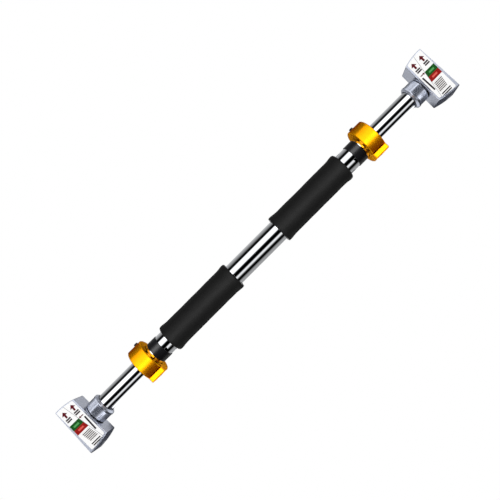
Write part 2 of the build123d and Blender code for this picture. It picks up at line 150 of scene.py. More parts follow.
# %% Angle around the bar
world = bpy.data.worlds.new("studio")
bpy.context.scene.world = world
world.use_nodes = True
world.cycles.sampling_method = "NONE"
room = world.node_tree
room.nodes.clear()
toward = node(room, "TexCoord").outputs["Generated"]
axes = node(room, "SeparateXYZ", {0: toward})
front = node(room, "Math", {0: axes.outputs["Y"], 1: -1.0}, operation="MULTIPLY")
angle = node(room, "Math", {0: axes.outputs["Z"], 1: front.outputs[0]}, operation="ARCTAN2")
share = node(room, "Math", {0: angle.outputs[0], 1: 1 / math.tau, 2: 0.5}, operation="MULTIPLY_ADD")
print("angle around the bar from", len(room.nodes), "nodes")


# %% Stripes on a colour ramp
def fill_ramp(ramp, stops):
    """Puts grey stops, given as place and brightness, on a colour ramp."""
    while len(ramp.elements) < len(stops):
        ramp.elements.new(0.5)
    for element, (place, value) in zip(ramp.elements, stops):
        element.position = place
        element.color = (value, value, value, 1)


stripes = node(room, "ValToRGB", {0: share.outputs[0]})
fill_ramp(stripes.color_ramp, [((a + 180) / 360, b / CLOTH) for a, b in STRIPES])
print("stops on the ramp:", len(stripes.color_ramp.elements))

# %% A grey card under the middle of the bar
CARD_DEPTH = 0.70           # how far the card darkens the lower stripe
CARD_EDGE = (0.26, 0.22)    # sideways part of a direction, from beside the card to fully on it
CARD_ANGLE = math.radians(-135)
CARD_HALF_WIDTH = math.radians(42)

sideways = node(room, "Math", {0: axes.outputs["X"]}, operation="ABSOLUTE")
middle = node(room, "MapRange", {0: sideways.outputs[0], 1: CARD_EDGE[0], 2: CARD_EDGE[1]})
below = node(room, "Math", {0: angle.outputs[0], 1: CARD_ANGLE, 2: CARD_HALF_WIDTH}, operation="COMPARE")
card = node(room, "Math", {0: middle.outputs[0], 1: below.outputs[0]}, operation="MULTIPLY")
left_over = node(room, "Math", {0: card.outputs[0], 1: -CARD_DEPTH, 2: 1.0}, operation="MULTIPLY_ADD")
strength = node(room, "Math", {0: left_over.outputs[0], 1: CLOTH}, operation="MULTIPLY")
print("the card leaves", round(1 - CARD_DEPTH, 2), "of the light")

# %% What mirrors, matte surfaces and the camera see
SKY = [(-1.0, 0.03), (-0.1, 0.06), (0.2, 0.18), (1.0, 0.25)]    # upward part of a direction, brightness

level = node(room, "MapRange", {0: axes.outputs["Z"], 1: -1.0, 2: 1.0})
sky = node(room, "ValToRGB", {0: level.outputs[0]})
fill_ramp(sky.color_ramp, [((z + 1) / 2, b) for z, b in SKY])
mirrored = node(room, "Background", {"Color": stripes.outputs[0], "Strength": strength.outputs[0]})
matte_light = node(room, "Background", {"Color": sky.outputs[0], "Strength": 1.0})
backdrop = node(room, "Background", {"Color": paint("#ffffff"), "Strength": 1.0})
ray = node(room, "LightPath")
lit = node(room, "MixShader", {0: ray.outputs["Is Glossy Ray"], 1: matte_light.outputs[0],
                               2: mirrored.outputs[0]})
seen = node(room, "MixShader", {0: ray.outputs["Is Camera Ray"], 1: lit.outputs[0],
                                2: backdrop.outputs[0]})
node(room, "OutputWorld", {0: seen.outputs[0]})
print("world of", len(room.nodes), "nodes")

# %% [markdown]
# ### Flags
# Small flags of cloth hang close to the bar, where only glossy surfaces can see them. Dark ones keep the
# bright backdrop out of the undersides of the end blocks and out of the edges of the foam, and a bright
# stripe out of each hub. The collars have brown ones, so that the gold turns a warm brown in its dark
# bands, and a grey one that dims their flat faces. The brown glows for the collars alone: to every other
# piece those flags are black. Each flag goes along with the piece it shades when the bar is pulled out or
# pushed in, so that it never shows up in a tube instead.

# %% Cloth for the flags
CLOTHS = {"dark": "#34373f", "brown": "#70452f", "grey": "#b6b6b6"}

cloths = {}
for name, colour in CLOTHS.items():
    cloths[name] = bpy.data.materials.new(name + "_flag_cloth")
    cloths[name].use_nodes = True
    tree = cloths[name].node_tree
    glow = node(tree, "Emission", {"Color": paint(colour), "Strength": 1.0})
    tree.links.new(glow.outputs[0], tree.nodes["Material Output"].inputs["Surface"])
brown_for = bpy.data.collections.new("brown_flag_aim")
for side in SIDES:
    brown_for.objects.link(nodes[side + "_clamp_collar"])
print("cloths:", list(cloths))

# %% Places and sizes of the flags
FLAGS = {
    # name: (middle, size along the bar, size across, tilt in degrees from lying flat, cloth,
    #        body it goes with, where SIDE stands for left or right)
    "block_flag": ((0.425, 0.030, -0.0987), 0.20, 0.120, 90, "dark", "SIDE_block"),
    "block_under_flag": ((0.400, -0.010, -0.062), 0.15, 0.080, 0, "dark", "SIDE_block"),
    "hub_front_flag": ((0.3128, -0.030, 0.0003), 0.0197, 0.0246, 90, "dark", "SIDE_block"),
    "hub_under_flag": ((0.322, 0.0167, -0.0380), 0.034, 0.070, 35, "dark", "SIDE_block"),
    "hub_back_flag": ((0.333, 0.034, 0.030), 0.034, 0.100, 90, "dark", "SIDE_block"),
    "collar_flag": ((0.220, -0.0428, -0.0611), 0.054, 0.055, -35, "brown", "bar"),
    "collar_top_flag": ((0.227, 0.0225, 0.056), 0.030, 0.055, -35, "brown", "bar"),
    "collar_face_flag": ((0.2028, 0.030, 0.0), 0.0175, 0.100, 90, "grey", "bar"),
    "back_flag": ((0.1185, 0.050, 0.0), 0.135, 0.110, 90, "dark", "bar"),
}
print("flags:", list(FLAGS))

# %% Hang the flags
for name, (middle, long, wide, tilt, cloth, body) in FLAGS.items():
    for side, sign in zip(SIDES, (-1, 1)):
        bpy.ops.object.select_all(action="DESELECT")
        bpy.ops.mesh.primitive_plane_add(size=1.0, location=(sign * middle[0], middle[1], middle[2]),
                                         rotation=(math.radians(tilt), 0, 0))
        flag = bpy.context.object
        flag.name = f"{side}_{name}"
        flag.scale = (long, wide, 1)
        bpy.ops.object.transform_apply(location=True, rotation=True, scale=True)
        flag.data.materials.append(cloths[cloth])
        flag.visible_camera = flag.visible_diffuse = False
        flag.visible_shadow = flag.visible_transmission = False
        if cloth == "brown":
            flag.light_linking.receiver_collection = brown_for
        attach(flag, body.replace("SIDE", side))
print("flags hung:", len(FLAGS) * len(SIDES))

# %% [markdown]
# ### Floor
# A plain pale floor carries the bar's soft shadow in every view from above. It is clear from below,
# because the camera is lower than the blocks and would look through it, and it melts into the backdrop
# with the distance from the bar. A large cyclorama would do the same, but a flat sheet that fades needs
# no bend to be hidden.

# %% Floor sheet
FLOOR_SIZE = 6.0            # metres

bpy.ops.object.select_all(action="DESELECT")
bpy.ops.mesh.primitive_plane_add(size=FLOOR_SIZE, location=(0, 0, cad_box[0].z))
floor = bpy.context.object
floor.name = "studio_floor"
bpy.ops.object.transform_apply(location=True)
floor.visible_diffuse = floor.visible_glossy = floor.visible_shadow = False
print("floor at", round(cad_box[0].z / MM, 2), "mm")

# %% Floor paint
FLOOR_FADE = (0.9, 2.2)     # metres from the middle, from solid to gone
FLOOR_MOTTLE = 1 / 3        # metres

floor_paint = bpy.data.materials.new("matte_floor_paint")
floor_paint.use_nodes = True
tree = floor_paint.node_tree
place = node(tree, "TexCoord").outputs["Object"]
reach = node(tree, "VectorMath", {0: place}, operation="LENGTH")
fade = node(tree, "MapRange", {0: reach.outputs["Value"], 1: FLOOR_FADE[0], 2: FLOOR_FADE[1]})
under = node(tree, "NewGeometry").outputs["Backfacing"]
gone = node(tree, "Math", {0: fade.outputs[0], 1: under}, operation="MAXIMUM")
mottle = node(tree, "TexNoise", {"Vector": place, "Scale": 1 / FLOOR_MOTTLE, "Detail": 3.0})
tone = node(tree, "Mix", {0: mottle.outputs[0], 6: paint("#cccccc"), 7: paint("#d1d1d1")},
            data_type="RGBA")
coat = node(tree, "BsdfDiffuse", {"Color": tone.outputs[2]})
clear = node(tree, "BsdfTransparent")
surface = node(tree, "MixShader", {0: gone.outputs[0], 1: coat.outputs[0], 2: clear.outputs[0]})
tree.links.new(surface.outputs[0], tree.nodes["Material Output"].inputs["Surface"])
floor.data.materials.append(floor_paint)
print(floor_paint.name, "is gone", FLOOR_FADE[1], "m from the middle")

# %% [markdown]
# ## Finishes
# Each material starts from what the real one is and how its surface was made. A finish is started by
# one function, which hands back the node tree, the Principled shader and the piece's own coordinates
# in metres. Pattern scales are therefore one over a real size. A second function puts the finish on the
# CAD pieces, whose shapes stay as they are.

# %% Starting a finish and putting it on a piece
def new_finish(name, roughness, metallic=0.0, **values):
    """Starts a material and returns it with its tree, its shader and its coordinates."""
    made = bpy.data.materials.new(name)
    made.use_nodes = True
    tree = made.node_tree
    shader = tree.nodes["Principled BSDF"]
    shader.inputs["Roughness"].default_value = roughness
    shader.inputs["Metallic"].default_value = metallic
    for key, value in values.items():
        shader.inputs[key.replace("_", " ")].default_value = value
    return made, tree, shader, node(tree, "TexCoord").outputs["Object"]


def dress(finish, *names):
    """Gives CAD pieces a finish, on both ends of the bar where the name has no side."""
    for name in names:
        for full in [name] + [f"{side}_{name}" for side in SIDES]:
            if full in nodes:
                piece = nodes[full]
                if not piece.material_slots:
                    piece.data.materials.append(finish)
                for slot in piece.material_slots:
                    slot.material = finish
    print(finish.name, "on", ", ".join(names))


print("pieces to dress:", len(nodes))

# %% [markdown]
# ### Chrome plate on drawn steel tube
# Plating over a polished tube is a mirror with faint polishing lines along the tube and a breath of
# haze where it was handled. A bump could draw the lines, but on a mirror it breaks the stripes up, so
# the lines and the haze only change the roughness. The lines are drawn 1.5 mm apart, far coarser than
# real ones, so that they can show at all.

# %% Chrome
LINE_LENGTH = 90 * MM
LINE_GAP = 1.5 * MM
HAZE_SIZE = 35 * MM
CHROME_ROUGHNESS = (0.02, 0.06)
CHROME_WORN = (0.12, 0.42)  # values of the pattern between which the roughness rises

chrome, tree, shader, place = new_finish("chrome_plated_steel", 0.04, metallic=1.0)
drawn = node(tree, "Mapping", {"Vector": place, "Scale": (1 / LINE_LENGTH, 1 / LINE_GAP, 1 / LINE_GAP)})
lines = node(tree, "TexNoise", {"Vector": drawn.outputs[0], "Scale": 1.0, "Detail": 4.0})
haze = node(tree, "TexNoise", {"Vector": place, "Scale": 1 / HAZE_SIZE, "Detail": 2.0})
worn = node(tree, "Math", {0: lines.outputs[0], 1: haze.outputs[0]}, operation="MULTIPLY")
rough = node(tree, "MapRange", {0: worn.outputs[0], 1: CHROME_WORN[0], 2: CHROME_WORN[1],
                                3: CHROME_ROUGHNESS[0], 4: CHROME_ROUGHNESS[1]})
tree.links.new(rough.outputs[0], shader.inputs["Roughness"])
tone = node(tree, "Mix", {0: haze.outputs[0], 6: paint("#e4e6ea"), 7: paint("#eef0f2")},
            data_type="RGBA")
tree.links.new(tone.outputs[2], shader.inputs["Base Color"])
dress(chrome, "main_tube", "inner_tube")

# %% [markdown]
# ### Gold anodised aluminium
# The collars are turned on a lathe, so fine rings run around them, and the dyed oxide is a deep amber
# over bright metal: it glows yellow under a lamp and falls to brown in the dark. The chamfer at the
# bore is painted darker, as painted shade that dims the lamp's reflection there; a mask on the distance
# from the bar's axis finds it. A second material on those faces would do it too, but the mask leaves
# the CAD mesh as it is. The rings are drawn 0.9 mm apart so that they show.

# %% Gold dye, with painted shade at the bore
SHADED_BORE_RADIUS = 17.25 * MM
DYE_CLOUD = 9 * MM

gold, tree, shader, place = new_finish("gold_anodised_aluminium", 0.36, metallic=1.0, Coat_Weight=0.03,
                                       Coat_Roughness=0.22, Specular_Tint=paint("#ffd820"))
axes = node(tree, "SeparateXYZ", {0: place})
across = node(tree, "CombineXYZ", {"Y": axes.outputs["Y"], "Z": axes.outputs["Z"]})
radius = node(tree, "VectorMath", {0: across.outputs[0]}, operation="LENGTH")
inside = node(tree, "Math", {0: radius.outputs["Value"], 1: SHADED_BORE_RADIUS}, operation="LESS_THAN")
cloudy = node(tree, "TexNoise", {"Vector": place, "Scale": 1 / DYE_CLOUD, "Detail": 3.0})
dye = node(tree, "Mix", {0: cloudy.outputs[0], 6: paint("#ea9804"), 7: paint("#f0a208")},
           data_type="RGBA")
# Inside that radius the bore's chamfer is painted darker: painted shade that dims the lamp's reflection.
skin = node(tree, "Mix", {0: inside.outputs[0], 6: dye.outputs[2], 7: paint("#8a5408")},
            data_type="RGBA")
tree.links.new(skin.outputs[2], shader.inputs["Base Color"])
print("darker inside a radius of", round(SHADED_BORE_RADIUS / MM, 2), "mm")

# %% Turned rings on the gold
RING_GAP = 0.9 * MM
RING_LENGTH = 90 * MM
RING_ROUGHNESS = (0.31, 0.37)
RING_SPAN = (0.3, 0.7)      # values of the pattern between which the roughness rises

turned = node(tree, "Mapping", {"Vector": place,
                                "Scale": (1 / RING_GAP, 1 / RING_LENGTH, 1 / RING_LENGTH)})
rings = node(tree, "TexNoise", {"Vector": turned.outputs[0], "Scale": 1.0, "Detail": 1.0})
rough = node(tree, "MapRange", {0: rings.outputs[0], 1: RING_SPAN[0], 2: RING_SPAN[1],
                                3: RING_ROUGHNESS[0], 4: RING_ROUGHNESS[1]})
tree.links.new(rough.outputs[0], shader.inputs["Roughness"])
raised = node(tree, "Bump", {"Height": rings.outputs[0], "Strength": 0.02, "Distance": 0.01 * MM})
tree.links.new(raised.outputs[0], shader.inputs["Normal"])
dress(gold, "clamp_collar")

# %% [markdown]
# ### Silver grey paint on moulded ABS
# The end blocks are moulded, and a spray paint that holds fine aluminium flake covers them. It is half a
# metal to the eye: soft reflections, a cool grey, and a little orange peel from the spray gun. The
# flake is drawn 0.6 mm across so that it shows. The groove where the hub meets the block is painted
# dark, as painted shade for the shadow that falls there: a mask finds it by its place along the bar and
# by its distance from the axis, both measured from the hub's cap, so that it follows the CAD sizes.

# %% Silver grey flake
FLAKE_SIZE = 0.6 * MM
FLAKE_SHARE = 0.04          # how strongly the flake tints the paint
PATCH_SIZE = 14 * MM

silver, tree, shader, place = new_finish("silver_painted_abs", 0.28, metallic=0.9)
flake = node(tree, "TexVoronoi", {"Vector": place, "Scale": 1 / FLAKE_SIZE})
patch = node(tree, "TexNoise", {"Vector": place, "Scale": 1 / PATCH_SIZE, "Detail": 2.0})
grey = node(tree, "Mix", {0: patch.outputs[0], 6: paint("#aeb3c2"), 7: paint("#b8bdca")},
            data_type="RGBA")
glint = node(tree, "Mix", {0: FLAKE_SHARE, 6: grey.outputs[2], 7: flake.outputs["Color"]},
             data_type="RGBA", blend_type="SOFT_LIGHT")
print("flake", round(FLAKE_SIZE / MM, 2), "mm across")

# %% Painted shade in the groove
GROOVE_SHADE_SPAN = (19.0 * MM, 21.5 * MM)  # from the tip of the cap, along the bar
GROOVE_SHADE_BELOW = 0.85 * MM         # from the cap's radius to inside the groove

cap_low, cap_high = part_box("right_hub_cap")
axes = node(tree, "SeparateXYZ", {0: place})
outward = node(tree, "Math", {0: axes.outputs["X"]}, operation="ABSOLUTE")
from_tip = node(tree, "Math", {0: outward.outputs[0], 1: cap_low.x}, operation="SUBTRACT")
beside_hub = node(tree, "Math", {0: from_tip.outputs[0], 1: sum(GROOVE_SHADE_SPAN) / 2,
                                 2: (GROOVE_SHADE_SPAN[1] - GROOVE_SHADE_SPAN[0]) / 2}, operation="COMPARE")
across = node(tree, "CombineXYZ", {"Y": axes.outputs["Y"], "Z": axes.outputs["Z"]})
radius = node(tree, "VectorMath", {0: across.outputs[0]}, operation="LENGTH")
sunk = node(tree, "Math", {0: radius.outputs["Value"], 1: cap_high.z - GROOVE_SHADE_BELOW},
            operation="LESS_THAN")
groove = node(tree, "Math", {0: beside_hub.outputs[0], 1: sunk.outputs[0]}, operation="MULTIPLY")
# Near black in the groove: painted shade where the hub meets the block.
flake_and_groove_shade = node(tree, "Mix", {0: groove.outputs[0], 6: glint.outputs[2], 7: paint("#15171c")},
               data_type="RGBA")
tree.links.new(flake_and_groove_shade.outputs[2], shader.inputs["Base Color"])
print("groove inside a radius of", round((cap_high.z - GROOVE_SHADE_BELOW) / MM, 2), "mm")

# %% Orange peel on the silver grey
PEEL_SIZE = 1.8 * MM
SILVER_ROUGHNESS = (0.26, 0.31)

peel = node(tree, "TexNoise", {"Vector": place, "Scale": 1 / PEEL_SIZE, "Detail": 1.0})
raised = node(tree, "Bump", {"Height": peel.outputs[0], "Strength": 0.03, "Distance": 0.02 * MM})
tree.links.new(raised.outputs[0], shader.inputs["Normal"])
rough = node(tree, "MapRange", {0: patch.outputs[0], 3: SILVER_ROUGHNESS[0], 4: SILVER_ROUGHNESS[1]})
tree.links.new(rough.outputs[0], shader.inputs["Roughness"])
dress(silver, "housing", "hub_cap")

# %% [markdown]
# ### Printed label film
# A satin white film carries plain marks: two arrows for the turning direction, a green and a red field,
# a slanted divider, a small pointer and thin rules. A picture could carry the print, but masks made by
# arithmetic stay sharp at any size and need no file. Both labels share one print, because the left one
# is the mirror image of the right: the place along the bar is taken as a distance from the middle. All
# sizes below are millimetres from the middle of the face. The film's grain is drawn 1.2 mm across so
# that it shows.

# %% Label coordinates
LABEL_MIDDLE = 334.0        # from the middle of the bar
DIVIDER_LEAN = 0.208        # toward the wall, for each millimetre up
DIVIDER_FOOT = -4.8         # the divider's place at half height
ARROW_MIDDLE = 0.7          # halfway between the two arrows
ARROW_APART = 7.3           # from there to each arrow

film, tree, shader, place = new_finish("printed_label_film", 0.30, Specular_IOR_Level=0.15)
axes = node(tree, "SeparateXYZ", {0: place})
outward = node(tree, "Math", {0: axes.outputs["X"]}, operation="ABSOLUTE")
wallward = node(tree, "Math", {0: outward.outputs[0], 1: 1 / MM, 2: -LABEL_MIDDLE},
                operation="MULTIPLY_ADD").outputs[0]
up = node(tree, "Math", {0: axes.outputs["Z"], 1: 1 / MM}, operation="MULTIPLY").outputs[0]
# Distance from the leaning divider, toward the wall.
from_foot = node(tree, "Math", {0: wallward, 1: DIVIDER_FOOT}, operation="SUBTRACT")
leaning = node(tree, "Math", {0: up, 1: -DIVIDER_LEAN, 2: from_foot.outputs[0]},
               operation="MULTIPLY_ADD").outputs[0]
# Distance from the nearer arrow's middle line: two folds draw one arrow twice.
off_middle = node(tree, "Math", {0: wallward, 1: ARROW_MIDDLE}, operation="SUBTRACT")
one_half = node(tree, "Math", {0: off_middle.outputs[0]}, operation="ABSOLUTE")
off_arrow = node(tree, "Math", {0: one_half.outputs[0], 1: ARROW_APART}, operation="SUBTRACT")
beside_arrow = node(tree, "Math", {0: off_arrow.outputs[0]}, operation="ABSOLUTE").outputs[0]
print("label print starts with", len(tree.nodes), "nodes")

# %% Shapes that the label is printed with
def field(across, start, end, low, high):
    """1 in a rectangle, which leans if the coordinate across does, else 0."""
    beside = node(tree, "Math", {0: across, 1: (start + end) / 2, 2: (end - start) / 2},
                  operation="COMPARE")
    level = node(tree, "Math", {0: up, 1: (low + high) / 2, 2: (high - low) / 2}, operation="COMPARE")
    inside = node(tree, "Math", {0: beside.outputs[0], 1: level.outputs[0]}, operation="MULTIPLY")
    return inside.outputs[0]


def arrow_head(aside, back, spread, length):
    """1 in a triangle, from the distances aside from its middle line and back from its tip, else 0."""
    half_width = node(tree, "Math", {0: back, 1: spread}, operation="MULTIPLY")
    narrow = node(tree, "Math", {0: aside, 1: half_width.outputs[0]}, operation="LESS_THAN")
    near_tip = node(tree, "Math", {0: back, 1: length}, operation="LESS_THAN")
    inside = node(tree, "Math", {0: narrow.outputs[0], 1: near_tip.outputs[0]}, operation="MULTIPLY")
    return inside.outputs[0]


print("shapes:", field.__name__, arrow_head.__name__)

# %% Arrows, pointer and fine rules
ARROW_TIP = 30.2
POINTER_TIP = -3.2          # the small pointer lies flat and points at the wall
POINTER_LINE = 8.8
RULE_PITCH = 2.4
RULE_SHARE = 0.60           # of the pitch that is printed

below_tip = node(tree, "Math", {0: up, 1: -1.0, 2: ARROW_TIP}, operation="MULTIPLY_ADD").outputs[0]
behind_tip = node(tree, "Math", {0: wallward, 1: -1.0, 2: POINTER_TIP},
                  operation="MULTIPLY_ADD").outputs[0]
off_line = node(tree, "Math", {0: up, 1: POINTER_LINE}, operation="SUBTRACT")
beside_line = node(tree, "Math", {0: off_line.outputs[0]}, operation="ABSOLUTE").outputs[0]
# A block of fine rules lies under the coloured fields.
pitches = node(tree, "Math", {0: up, 1: RULE_PITCH}, operation="DIVIDE")
through = node(tree, "Math", {0: pitches.outputs[0]}, operation="FRACT")
inked = node(tree, "Math", {0: through.outputs[0], 1: RULE_SHARE}, operation="LESS_THAN")
fine_rules = node(tree, "Math", {0: inked.outputs[0], 1: field(leaning, 1.8, 15.2, -25.2, -9.4)},
                  operation="MULTIPLY").outputs[0]
print("fine rules every", RULE_PITCH, "mm")

# %% Label inks
EDGE = 40.0                 # past the edges of the film
FILM_GRAIN = 1.2 * MM
INKS = [
    ("#6e6f75", [field(leaning, -0.25, 0.25, -EDGE, EDGE)]),
    ("#665f5d", [fine_rules]),
    ("#332b2e", [field(beside_arrow, -4.0, 4.0, 17.0, 19.2),
                 field(beside_arrow, -4.0, 4.0, 14.0, 16.2)]),
    ("#2a2527", [field(leaning, 2.2, 17.6, -29.3, -27.6),
                 field(leaning, 2.2, 17.6, -32.2, -30.5),
                 field(wallward, -11.7, -9.3, -17.4, 5.6)]),
    ("#064b0d", [field(leaning, 0.2, EDGE, 0.8, 9.4)]),
    ("#4f9a55", [field(leaning, 4.6, 13.4, 3.4, 6.0)]),
    ("#8e0b06", [field(leaning, 0.2, EDGE, -7.2, 0.8)]),
    ("#d85a50", [field(leaning, 4.6, 13.4, -4.2, -1.6)]),
    ("#560010", [arrow_head(beside_arrow, below_tip, spread=0.86, length=5.1),
                 field(beside_arrow, -1.45, 1.45, 20.4, 25.6),
                 arrow_head(beside_line, behind_tip, spread=0.72, length=2.8),
                 field(wallward, -10.8, -4.8, 8.1, 9.5)]),
]
grain = node(tree, "TexNoise", {"Vector": place, "Scale": 1 / FILM_GRAIN, "Detail": 2.0})
printed = node(tree, "Mix", {0: grain.outputs[0], 6: paint("#fbfbfa"), 7: paint("#f4f4f4")},
               data_type="RGBA").outputs[2]
for ink, marks in INKS:
    for mark in marks:
        printed = node(tree, "Mix", {0: mark, 6: printed, 7: paint(ink)}, data_type="RGBA").outputs[2]
tree.links.new(printed, shader.inputs["Base Color"])
dress(film, "label")

# %% [markdown]
# ### Black pieces
# The bands beside the grips are satin moulded nylon, close to black with one soft sheen. Screws are
# steel blackened in a hot oxide bath, which leaves a dark skin with a faint oily gloss. Pads and wiper
# rings are moulded rubber, dull and slightly dusty in the hollows. One black would do from far away, but
# up close only the differences in gloss and grain tell the three apart. The nylon's grain and the
# rubber's pebbles are drawn nearly 1 mm across so that they show.

# %% Black nylon for the bands
NYLON_GRAIN = 0.8 * MM

nylon, tree, shader, place = new_finish("black_moulded_nylon", 0.32, Specular_IOR_Level=0.15)
texture = node(tree, "TexNoise", {"Vector": place, "Scale": 1 / NYLON_GRAIN, "Detail": 3.0})
tone = node(tree, "Mix", {0: texture.outputs[0], 6: paint("#060607"), 7: paint("#0c0c0e")},
            data_type="RGBA")
tree.links.new(tone.outputs[2], shader.inputs["Base Color"])
raised = node(tree, "Bump", {"Height": texture.outputs[0], "Strength": 0.06, "Distance": 0.05 * MM})
tree.links.new(raised.outputs[0], shader.inputs["Normal"])
dress(nylon, "tube_band")

# %% Black oxide for the screws
OXIDE_BLOTCH = 2.5 * MM
OXIDE_ROUGHNESS = (0.34, 0.52)

oxide, tree, shader, place = new_finish("black_oxide_steel", 0.42, metallic=0.6)
blotch = node(tree, "TexNoise", {"Vector": place, "Scale": 1 / OXIDE_BLOTCH, "Detail": 4.0})
tone = node(tree, "Mix", {0: blotch.outputs[0], 6: paint("#141416"), 7: paint("#2a2a2d")},
            data_type="RGBA")
tree.links.new(tone.outputs[2], shader.inputs["Base Color"])
rough = node(tree, "MapRange", {0: blotch.outputs[0], 3: OXIDE_ROUGHNESS[0], 4: OXIDE_ROUGHNESS[1]})
tree.links.new(rough.outputs[0], shader.inputs["Roughness"])
dress(oxide, "clamp_screw", "set_screw", "plate_screws")

# %% Rubber for the pads and the wiper rings
DUST_SIZE = 6 * MM
PEBBLE_SIZE = 0.9 * MM

rubber, tree, shader, place = new_finish("moulded_rubber", 0.72)
dust = node(tree, "TexNoise", {"Vector": place, "Scale": 1 / DUST_SIZE, "Detail": 5.0})
tone = node(tree, "Mix", {0: dust.outputs[0], 6: paint("#121212"), 7: paint("#262524")},
            data_type="RGBA")
tree.links.new(tone.outputs[2], shader.inputs["Base Color"])
pebble = node(tree, "TexVoronoi", {"Vector": place, "Scale": 1 / PEBBLE_SIZE})
raised = node(tree, "Bump", {"Height": pebble.outputs["Distance"], "Strength": 0.25,
                             "Distance": 0.1 * MM})
tree.links.new(raised.outputs[0], shader.inputs["Normal"])
dress(rubber, "wall_pad", "wiper_ring")

# %% [markdown]
# ### Hidden working pieces
# Inside the tubes are a turned steel jack screw with its nut, a pressed steel plate, and a natural
# nylon guide ring. They show only if the model is opened up, and a plain grey would pass, but they are
# finished like the rest: steel with fine cutting marks around it, and nylon that is faintly milky.

# %% Turned steel
CUT_GAP = 0.5 * MM
CUT_LENGTH = 30 * MM
CUT_ROUGHNESS = (0.28, 0.46)

steel, tree, shader, place = new_finish("turned_plain_steel", 0.36, metallic=1.0)
turned = node(tree, "Mapping", {"Vector": place, "Scale": (1 / CUT_GAP, 1 / CUT_LENGTH, 1 / CUT_LENGTH)})
cut = node(tree, "TexNoise", {"Vector": turned.outputs[0], "Scale": 1.0, "Detail": 3.0})
tone = node(tree, "Mix", {0: cut.outputs[0], 6: paint("#8c8d8f"), 7: paint("#b4b4b2")}, data_type="RGBA")
tree.links.new(tone.outputs[2], shader.inputs["Base Color"])
rough = node(tree, "MapRange", {0: cut.outputs[0], 3: CUT_ROUGHNESS[0], 4: CUT_ROUGHNESS[1]})
tree.links.new(rough.outputs[0], shader.inputs["Roughness"])
dress(steel, "screw_spindle", "tube_nut", "back_plate")

# %% Natural nylon
MILKY_SIZE = 5 * MM

guide, tree, shader, place = new_finish("natural_nylon", 0.46)
milky = node(tree, "TexNoise", {"Vector": place, "Scale": 1 / MILKY_SIZE, "Detail": 2.0})
tone = node(tree, "Mix", {0: milky.outputs[0], 6: paint("#e2ddcf"), 7: paint("#efece2")},
            data_type="RGBA")
tree.links.new(tone.outputs[2], shader.inputs["Base Color"])
dress(guide, "tube_glide")

# %% [markdown]
# ## The foam grips
# Each grip is a tube of closed-cell foam pushed over the steel. Foam is soft, so its edges are round,
# a low bead stands at each end, and nothing about it is perfectly even. To the eye it is a dull black
# with fine pits and a broad, faint sheen. A cylinder with rounded edges would look like hard plastic, so
# a turned profile is used: one ring is extruded from station to station and scaled at each, then the end
# is welded to the start through the bore. A subdivision rounds the profile and a small displacement
# makes it uneven. The cells are drawn 1.3 mm across so that they show.

# %% Foam finish
CELL_SIZE = 1.3 * MM
FOAM_MOTTLE = 7 * MM
PIT_SPAN = (0.1, 0.6)       # distance from the middle of a cell, in cells, over which its pit fades
PIT_SHADE = 0.75            # share of the colour that is left in a pit

foam, tree, shader, place = new_finish("black_closed_cell_foam", 0.55, Specular_IOR_Level=0.08)
cells = node(tree, "TexVoronoi", {"Vector": place, "Scale": 1 / CELL_SIZE}, feature="SMOOTH_F1")
mottle = node(tree, "TexNoise", {"Vector": place, "Scale": 1 / FOAM_MOTTLE, "Detail": 5.0,
                                 "Roughness": 0.65})
tone = node(tree, "Mix", {0: mottle.outputs[0], 6: paint("#090909"), 7: paint("#101010")},
            data_type="RGBA")
# The pits of the cells are painted darker: painted shade in the hollows.
pits = node(tree, "MapRange", {0: cells.outputs["Distance"], 1: PIT_SPAN[0], 2: PIT_SPAN[1],
                               3: PIT_SHADE, 4: 1.0})
shade = node(tree, "Mix", {0: 1.0, 6: tone.outputs[2], 7: pits.outputs[0]}, data_type="RGBA",
             blend_type="MULTIPLY")
tree.links.new(shade.outputs[2], shader.inputs["Base Color"])
raised = node(tree, "Bump", {"Height": cells.outputs["Distance"], "Strength": 0.35,
                             "Distance": 0.25 * MM})
tree.links.new(raised.outputs[0], shader.inputs["Normal"])
print(foam.name, "for the grips")

# %% Grip profile
GRIP_END = [                # from one end inward: millimetres along, radius
    (0.0, 16.6), (0.0, 19.4), (0.5, 20.5), (1.6, 21.1), (3.4, 21.3), (6.0, 21.2), (8.5, 20.8),
    (12.0, 20.35), (17.0, 20.25),
]
GRIP_WAIST = 20.15          # radius at the middle
GRIP_STEPS = 14             # rings along the middle
GRIP_BORE = 16.2            # radius
BORE_INSET = 1.0            # from each end to the first ring of the bore


def grip_stations(start, end):
    """Places along the bar and radii, from the bore at one end to the bore at the other."""
    length = (end - start) / MM
    lead, shoulder = GRIP_END[-1]
    body = []
    for i in range(1, GRIP_STEPS):
        share = i / GRIP_STEPS
        waist = math.sin(math.pi * share) ** 2
        body.append((lead + (length - 2 * lead) * share, shoulder * (1 - waist) + GRIP_WAIST * waist))
    far = [(length - s, r) for s, r in reversed(GRIP_END)]
    bore = [(length - BORE_INSET, GRIP_BORE), (BORE_INSET, GRIP_BORE)]
    return [(start + s * MM, r * MM) for s, r in GRIP_END + body + far + bore]


print("rings at each end of a grip:", len(GRIP_END), "and along its middle:", GRIP_STEPS - 1)

# %% Turning a grip
GRIP_SIDES = 96
WELD = 0.01 * MM


